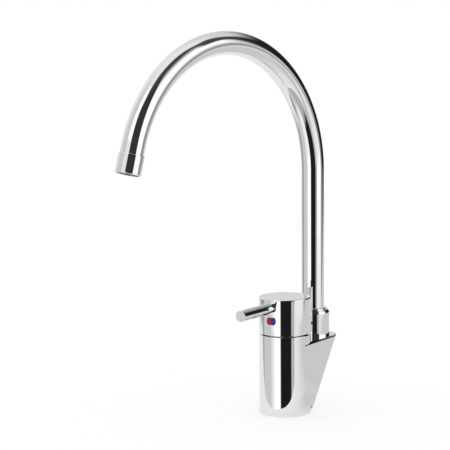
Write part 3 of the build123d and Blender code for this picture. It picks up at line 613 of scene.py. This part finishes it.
inner_r = body_r - cap_wall
roof = cap_high[2] - cap_roof
cap_profile = [(inner_r, roof), (inner_r, cap_low[2])]
cap_profile += [(body_r - edge_round, cap_low[2]), (body_r, cap_low[2] + edge_round)]
cap_profile += [(body_r, cap_high[2] - cap_bevel - edge_hold), (body_r, cap_high[2] - cap_bevel)]
cap_profile += quarter(body_r - cap_bevel, cap_high[2] - cap_bevel, cap_bevel, 90)[::-1][1:]
make_piece("cap_chrome", turned_rows(cap_profile, cap_columns, tilt_room), chrome,
           "handle", ["handle_cap"], sharp_rows=[len(cap_profile) - 1])


# ---------------------------------------------------------------------------
# Lever. A straight bar of polished brass with a small bevel at its tip, screwed
# into the cap.
lever_low, lever_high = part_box("pin_lever")
lever_r = (lever_high[0] - lever_low[0]) / 2
lever_z = (lever_low[2] + lever_high[2]) / 2
lever_tip = lever_low[1]
lever_bite = 0.0014         # how deep the bar stands in the cap
lever_root = -body_r + lever_bite
lever_bevel = 0.0006
bevel_turns = np.radians((22.5, 45, 67.5, 90))
lever_columns = 128


def bar_rows(profile, count, centre_x, centre_z):
    """A profile of (radius, y) points carried around an axis along Y."""
    angle = np.linspace(0, 2 * pi, count, endpoint=False)
    return [np.column_stack((centre_x + radius * np.cos(angle), np.full(count, y),
                             centre_z + radius * np.sin(angle))) for radius, y in profile]


lever_profile = [(lever_r, lever_root), (lever_r, lever_tip + lever_bevel + edge_hold),
                 (lever_r, lever_tip + lever_bevel)]
lever_profile += [(lever_r - lever_bevel * (1 - cos(a)), lever_tip + lever_bevel * (1 - sin(a)))
                  for a in bevel_turns]
make_piece("lever_chrome", bar_rows(lever_profile, lever_columns, 0, lever_z), chrome,
           "handle", ["pin_lever"], sharp_rows=[len(lever_profile) - 1])


# ---------------------------------------------------------------------------
# Hot and cold mark. A turned ring pressed into the cap, holding two half discs
# of glossy enamel, red on the hot side and blue on the cold side.
mark_low, mark_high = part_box("index_ring")
mark_z = (mark_low[2] + mark_high[2]) / 2
mark_r = (mark_high[0] - mark_low[0]) / 2
mark_front = mark_low[1]
mark_back = mark_high[1]
ring_wall = 0.00035
ring_edge = 0.0002          # bevel of the ring's front edge, half as wide inside
ring_profile = [(mark_r, mark_back), (mark_r, mark_front + ring_edge), (mark_r - ring_edge, mark_front),
                (mark_r - ring_wall + ring_edge / 2, mark_front),
                (mark_r - ring_wall, mark_front + ring_edge), (mark_r - ring_wall, mark_back)]
make_piece("mark_ring", bar_rows(ring_profile, 96, 0, mark_z), chrome,
           "handle", ["index_ring"], closed=True)

enamel_r = mark_r - ring_wall
enamel_edge = 0.0002        # the enamel's rim lies this far behind the ring's front
enamel_crown = 0.0005       # and its middle stands this far before its rim
rim_shade_span = (0.90, 0.99)   # painted shade: the enamel darkens between these shares of its radius, standing in for the shadow at the ring
# near black colour of the painted shade at the enamel's rim
painted_rim_shade = (0.02, 0.01, 0.02, 1)


def half_rows(way, count=49):
    """Half of a domed button: profiles of (radius, y) turned through half a circle about the mark's axis.

    The front's y falls with the square of the radius.
    """
    radius = np.linspace(enamel_r, 0, 13)
    front = mark_front + enamel_edge - enamel_crown * (1 - (radius / enamel_r)**2)
    radius = np.concatenate(([0, enamel_r], radius))
    y = np.concatenate(([mark_back, mark_back], front))
    angle = np.linspace(-pi / 2, pi / 2, count)
    return [np.column_stack((way * radius * cos(a), y, mark_z + radius * sin(a))) for a in angle]


def enamel(name, deep, bright):
    """Look of glossy enamel: a strong colour, a little cloudy, and painted shade where it meets the ring.

    The painted rim shade's share rises from 0 to 1 over the last part of the distance from the mark's axis.
    """
    look, tree, shader, spot = new_look(name)
    part = node(tree, "ShaderNodeSeparateXYZ", {0: spot})
    level = maths(tree, "SUBTRACT", part.outputs[2], mark_z)
    flat = node(tree, "ShaderNodeCombineXYZ", {0: part.outputs[0], 2: level})
    out = node(tree, "ShaderNodeVectorMath", {0: flat.outputs[0]}, operation="LENGTH")
    rim_shade = ramp_up(tree, out.outputs["Value"], enamel_r * rim_shade_span[0], enamel_r * rim_shade_span[1])
    body = between(tree, cloud(tree, spot, 700, 3), deep, bright)
    # painted shade: the enamel's rim is mixed towards near black, where the groove at the ring would lie in
    # shadow
    shade = node(tree, "ShaderNodeMix", {0: rim_shade, 6: body, 7: painted_rim_shade}, data_type="RGBA")
    tree.links.new(shade.outputs[2], shader.inputs["Base Color"])
    shader.inputs["Roughness"].default_value = 0.3
    shader.inputs["Specular IOR Level"].default_value = 0.25
    shader.inputs["Coat Weight"].default_value = 0.12
    shader.inputs["Coat Roughness"].default_value = 0.06
    bumped(tree, shader, cloud(tree, spot, 900, 2), 0.00001, 0.3)
    return look


red_enamel = enamel("enamel_red", (0.30, 0.006, 0.020), (0.40, 0.012, 0.032))
blue_enamel = enamel("enamel_blue", (0.010, 0.014, 0.17), (0.020, 0.028, 0.25))
make_piece("mark_red", half_rows(-1), red_enamel, "handle", ["index_hot"], sharp_angle=60)
make_piece("mark_blue", half_rows(1), blue_enamel, "handle", ["index_cold"], sharp_angle=60)


# ---------------------------------------------------------------------------
# Collar. A turned brass sleeve, screwed down on the arm, with a ledge at its
# mouth and the plastic bearing ring inside it.
collar_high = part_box("spout_collar")[1]
collar_r = collar_high[0]
collar_top = collar_high[2]
lip_height = 0.0016
shoulder_width = 0.0015
shoulder_height = 0.0027
bearing_r = 0.01205
lip_wall = 0.00085
lip_r = bearing_r + lip_wall
lip_round = 0.0007
collar_round = 0.0003
bearing_height = 0.004
collar_bore = 0.01105


def sleeve_rows(profile, count, centre_y):
    """A profile of (radius, height) points carried around an upright axis at centre_y."""
    return [row + (0, centre_y, 0) for row in turned_rows(profile, count)]


lip_foot = collar_top - lip_height
collar_profile = [(collar_bore, arm_top), (collar_r, arm_top)]
collar_profile += [(collar_r, lip_foot - shoulder_height - collar_round - edge_hold),
                   (collar_r, lip_foot - shoulder_height - collar_round),
                   (collar_r - 0.2 * collar_round, lip_foot - shoulder_height + 0.5 * collar_round)]
collar_profile += [(collar_r - shoulder_width + 0.4 * collar_round, lip_foot - 0.5 * collar_round),
                   (collar_r - shoulder_width - collar_round, lip_foot)]
collar_profile += [(lip_r, lip_foot)]
collar_profile += quarter(lip_r - lip_round, collar_top - lip_round, lip_round, 90)[::-1]
collar_profile += [(bearing_r, collar_top), (bearing_r, collar_top - bearing_height),
                   (collar_bore, collar_top - bearing_height)]
collar = make_piece("collar_chrome", sleeve_rows(collar_profile, 160, spout_y), chrome,
                    "tap_body", ["spout_collar"], closed=True)


# ---------------------------------------------------------------------------
# Spout. Thin brass tube, bent on a mandrel in two arcs and chromed: upright,
# over in the arch, and down to a short straight end.
spout_r = 0.011
spout_wall = 0.0012
spout_side = radians(9.5)   # turned this far towards -X
leg_foot = 0.086
bend_height = 0.231
bends = ((0.1305, radians(66.0)), (0.123, radians(97.5)))
end_straight = 0.0065
sleeve_overlap = 0.008
tube_columns = 128
bend_step = radians(1.0)

forward = np.array((-sin(spout_side), -cos(spout_side), 0))
upward = np.array((0, 0, 1.0))
across = np.cross(forward, upward)


def spout_line():
    """Places and directions along the spout's middle line: a straight leg, two arcs and a straight end.

    An arc of radius r turns the direction evenly, and each place on it is its centre plus r
    along the direction's own normal.
    """
    places, ways = [], []
    turn = 0.0
    here = upward * bend_height + (0, spout_y, 0)
    for z in np.linspace(leg_foot, bend_height, 8)[:-1]:
        places.append(upward * z + (0, spout_y, 0))
        ways.append(upward)
    for radius, angle in bends:
        steps = int(round(angle / bend_step))
        normal = forward * cos(turn) - upward * sin(turn)
        centre = here + normal * radius
        for step in range(steps):
            bend = turn + angle * step / steps
            places.append(centre - (forward * cos(bend) - upward * sin(bend)) * radius)
            ways.append(forward * sin(bend) + upward * cos(bend))
        turn += angle
        here = centre - (forward * cos(turn) - upward * sin(turn)) * radius
    way = forward * sin(turn) + upward * cos(turn)
    for along in (0, end_straight / 2, end_straight, end_straight + sleeve_overlap):
        places.append(here + way * along)
        ways.append(way)
    return np.array(places), np.array(ways), here, way


tube_places, tube_ways, bend_end, outlet_way = spout_line()


def tube_rows(places, ways, radius, count):
    """Circles of the radius across each place of a line in the spout's plane."""
    angle = np.linspace(0, 2 * pi, count, endpoint=False)
    outward = np.cross(ways, across)
    return (places[:, None] + radius * (outward[:, None] * np.cos(angle)[None, :, None]
            + across * np.sin(angle)[None, :, None]))


outer = tube_rows(tube_places, tube_ways, spout_r, tube_columns)
inner = tube_rows(tube_places, tube_ways, spout_r - spout_wall, tube_columns)[::-1]
make_piece("spout_chrome", np.concatenate((outer, inner)), chrome, "spout",
           ["spout_tube"], closed=True, sharp_angle=40)


# ---------------------------------------------------------------------------
# Outlet sleeve. A turned, chromed sleeve over the tube's end that holds the jet
# former, with a small bevel at both rims.
sleeve_r = 0.012
sleeve_length = 0.018
sleeve_bevel = 0.0006
sleeve_bore = 0.0102
sleeve_seat = 0.0001        # the sleeve's upper rim starts this far below its bevel

sleeve_start = bend_end + outlet_way * end_straight
sleeve_profile = [(spout_r, sleeve_seat), (sleeve_r - sleeve_bevel, 0)]
sleeve_profile += [(sleeve_r - sleeve_bevel * (1 - sin(a)), sleeve_bevel * (1 - cos(a)))
                   for a in bevel_turns]
sleeve_profile += [(sleeve_r, sleeve_bevel + edge_hold),
                   (sleeve_r, sleeve_length - sleeve_bevel - edge_hold),
                   (sleeve_r, sleeve_length - sleeve_bevel)]
sleeve_profile += [(sleeve_r - sleeve_bevel * (1 - cos(a)), sleeve_length - sleeve_bevel * (1 - sin(a)))
                   for a in bevel_turns]
sleeve_profile += [(sleeve_bore, sleeve_length), (sleeve_bore, sleeve_overlap),
                   (spout_r, sleeve_overlap)]
sleeve_rows_list = [
    tube_rows((sleeve_start + outlet_way * along)[None], outlet_way[None], radius, 128)[0]
    for radius, along in sleeve_profile]
make_piece("outlet_sleeve", sleeve_rows_list, chrome, "spout",
           ["aerator_housing"], closed=True)


# ---------------------------------------------------------------------------
# Bearing ring. White acetal, pressed into the collar's mouth: the spout turns
# in it. Its top edge is rounded and shows as a thin pale line.
def solid_look(name, dark, pale, metallic, rough, grain, bump_depth):
    """Look of a solid: two colours and two roughnesses mixed by noise, and a fine bump."""
    look, tree, shader, spot = new_look(name)
    mottle = cloud(tree, spot, grain, 4)
    tree.links.new(between(tree, mottle, dark, pale), shader.inputs["Base Color"])
    shader.inputs["Metallic"].default_value = metallic
    tree.links.new(spread(tree, mottle, *rough, 0.3, 0.7), shader.inputs["Roughness"])
    bumped(tree, shader, cloud(tree, spot, grain * 9, 3), bump_depth, 0.5)
    return look


white_acetal = solid_look("white_acetal", (0.74, 0.74, 0.72), (0.82, 0.82, 0.80), 0.0, (0.32, 0.48),
                          240, 0.00002)
ring_foot = collar_top - bearing_height
ring_round = 0.0004
bearing_profile = [(bearing_r, ring_foot), (collar_bore, ring_foot)]
bearing_profile += quarter(collar_bore + ring_round, collar_top - ring_round, ring_round, 180)
bearing_profile += quarter(bearing_r - ring_round, collar_top - ring_round, ring_round, 90)
make_piece("bearing_ring", sleeve_rows(bearing_profile, 128, spout_y), white_acetal,
           "tap_body", ["collar_bearing_ring"], closed=True)


# ---------------------------------------------------------------------------
# Stop screw. A steel set screw in the collar's back, driven by a hexagon key.
# Its tip limits how far the spout swings.
screw_tip_r = 0.0015
screw_tip_length = 0.0011
screw_bevel = 0.0003
key_across = 0.002          # across the flats of its socket
key_depth = 0.0018
screw_gap = 0.00005         # between the screw and its hole in the collar
hole_start = 0.002          # the hole begins this far behind the screw's tip
hole_length = 0.01


def set_screw_rows(low, high, count=72):
    """Rings of a set screw along Y: thin tip, threaded shank, and a hexagon socket in its end.

    The socket's distance from the axis is key_across / 2 over the cosine of the angle to
    the nearest flat's middle.
    """
    centre_x, centre_z = (low[0] + high[0]) / 2, (low[2] + high[2]) / 2
    shank_r = (high[0] - low[0]) / 2
    angle = np.linspace(0, 2 * pi, count, endpoint=False)
    hexagon = key_across / 2 / np.cos((angle + pi / 6) % (pi / 3) - pi / 6)
    tip_end = low[1] + screw_tip_length
    shape = [(screw_tip_r, low[1]), (screw_tip_r, tip_end), (shank_r, tip_end)]
    shape += [(shank_r, high[1] - screw_bevel), (shank_r - screw_bevel, high[1])]
    shape += [(hexagon, high[1]), (hexagon, high[1] - key_depth)]
    return [np.column_stack((centre_x + radius * np.cos(angle), np.full(count, y),
                             centre_z + radius * np.sin(angle))) for radius, y in shape]


def drilled(piece, start, way, radius, length):
    """Cuts a round hole of the radius along the way into a piece, and creases edges over 30 degrees."""
    cut = bmesh.new()
    turn = Vector(way).to_track_quat("Z", "Y").to_matrix().to_4x4()
    place = Matrix.Translation(Vector(start) + Vector(way) * length / 2) @ turn
    bmesh.ops.create_cone(cut, cap_ends=True, segments=64, radius1=radius, radius2=radius,
                          depth=length, matrix=place)
    drill_mesh = bpy.data.meshes.new("drill")
    cut.to_mesh(drill_mesh)
    cut.free()
    drill = bpy.data.objects.new("drill", drill_mesh)
    scene.collection.objects.link(drill)
    bore = piece.modifiers.new("bore", "BOOLEAN")
    bore.operation, bore.solver, bore.object = "DIFFERENCE", "EXACT", drill
    bpy.context.view_layer.update()
    done = bpy.data.meshes.new_from_object(piece.evaluated_get(bpy.context.evaluated_depsgraph_get()))
    piece.modifiers.clear()
    piece.data = done
    bpy.data.objects.remove(drill)
    done.shade_smooth()
    done.set_sharp_from_angle(angle=radians(30))


bright_steel = solid_look("bright_steel", (0.50, 0.50, 0.51), (0.64, 0.64, 0.64), 1.0, (0.20, 0.34),
                          900, 0.00001)
screw_low, screw_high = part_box("spout_stop_screw")
screw_r = (screw_high[0] - screw_low[0]) / 2
screw_z = (screw_low[2] + screw_high[2]) / 2
make_piece("stop_screw", set_screw_rows(screw_low, screw_high), bright_steel, "tap_body",
           ["spout_stop_screw"])
drilled(collar, (0, screw_low[1] + hole_start, screw_z), (0, 1, 0), screw_r + screw_gap, hole_length)


# ---------------------------------------------------------------------------
# Foot. A machined brass block with the three inlets and the stud's thread, a
# black ring seal around it, and small seals over the block's waterways.
def turned_look(name, dark, pale, rough, centre_y, pitch=0.00035, depth=0.000006):
    """Look of turned metal: noise in colour and roughness, and a groove of the pitch round the axis.

    The bump is the sine of (distance from the upright axis + height) over the pitch.
    """
    look, tree, shader, spot = new_look(name)
    mottle = cloud(tree, spot, 120, 4)
    tree.links.new(between(tree, mottle, dark, pale), shader.inputs["Base Color"])
    shader.inputs["Metallic"].default_value = 1.0
    tree.links.new(spread(tree, mottle, *rough, 0.3, 0.7), shader.inputs["Roughness"])
    part = node(tree, "ShaderNodeSeparateXYZ", {0: spot})
    back = maths(tree, "SUBTRACT", part.outputs[1], centre_y)
    flat = node(tree, "ShaderNodeCombineXYZ", {0: part.outputs[0], 1: back})
    out = node(tree, "ShaderNodeVectorMath", {0: flat.outputs[0]}, operation="LENGTH")
    along = maths(tree, "ADD", out.outputs["Value"], part.outputs[2])
    bumped(tree, shader, maths(tree, "SINE", maths(tree, "MULTIPLY", along, 2 * pi / pitch)), depth)
    return look


def dress(look, *names):
    """Gives a look to CAD nodes that are shown as they are."""
    for name in names:
        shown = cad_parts[name]
        if not shown.material_slots:
            shown.data.materials.append(look)
        for kept in shown.material_slots:
            kept.material = look


machined_brass = turned_look("machined_brass", (0.66, 0.47, 0.20), (0.78, 0.60, 0.30), (0.22, 0.34), 0.0)
black_rubber = solid_look("black_rubber", (0.018, 0.018, 0.019), (0.040, 0.040, 0.041), 0.0, (0.55, 0.75),
                          300, 0.00003)
dress(machined_brass, "inlet_block")
dress(black_rubber, "base_gasket", "inlet_seals")


# ---------------------------------------------------------------------------
# Cartridge. Moulded plastic case, floor and rotor, two lapped ceramic discs with
# their carrier, and black seals, dropped into the body's chamber.
grey_nylon = solid_look("grey_nylon", (0.10, 0.105, 0.11), (0.15, 0.155, 0.16), 0.0, (0.38, 0.55), 260,
                        0.00002)
lapped_ceramic = solid_look("lapped_ceramic", (0.84, 0.82, 0.77), (0.90, 0.89, 0.85), 0.0, (0.10, 0.20),
                            500, 0.000003)
dress(white_acetal, "cartridge_housing", "cartridge_rotor", "disc_carrier")
dress(grey_nylon, "cartridge_base")
dress(lapped_ceramic, "fixed_disc", "moving_disc")
dress(black_rubber, "cartridge_seals")


# ---------------------------------------------------------------------------
# Cartridge nut. A nickelled brass ring with key notches, which holds the
# cartridge down. Its rim is seen in the seam under the cap.
nickel_plate = turned_look("nickel_plate", (0.66, 0.65, 0.62), (0.76, 0.75, 0.73), (0.16, 0.26), 0.0)
dress(nickel_plate, "retaining_nut")


# ---------------------------------------------------------------------------
# Stem. A brass stem on a steel pin, held in the cap by a steel set screw behind
# the hot and cold mark.
dress(machined_brass, "control_stem")
dress(bright_steel, "tilt_pin", "handle_screw")


# ---------------------------------------------------------------------------
# Swivel. The brass nipple and its rubber rings turn in the collar on a plastic
# washer, around the small brass spigot of the filtered water.
swivel_brass = turned_look("swivel_brass", (0.66, 0.47, 0.20), (0.78, 0.60, 0.30), (0.18, 0.30), spout_y)
dress(swivel_brass, "swivel_nipple", "filtered_water_spigot")
dress(black_rubber, "swivel_seals", "spigot_seal")
dress(white_acetal, "thrust_washer")


# ---------------------------------------------------------------------------
# Outlet inside. The grey plastic jet former, with a ring of jets for mixed water
# round the filtered water's own opening, its seal and the inner tube.
jet_plastic = solid_look("jet_plastic", (0.050, 0.052, 0.055), (0.085, 0.088, 0.092), 0.0, (0.35, 0.5),
                         300, 0.00002)
dress(jet_plastic, "aerator_insert")
dress(grey_nylon, "filtered_water_tube")
dress(black_rubber, "aerator_seal")
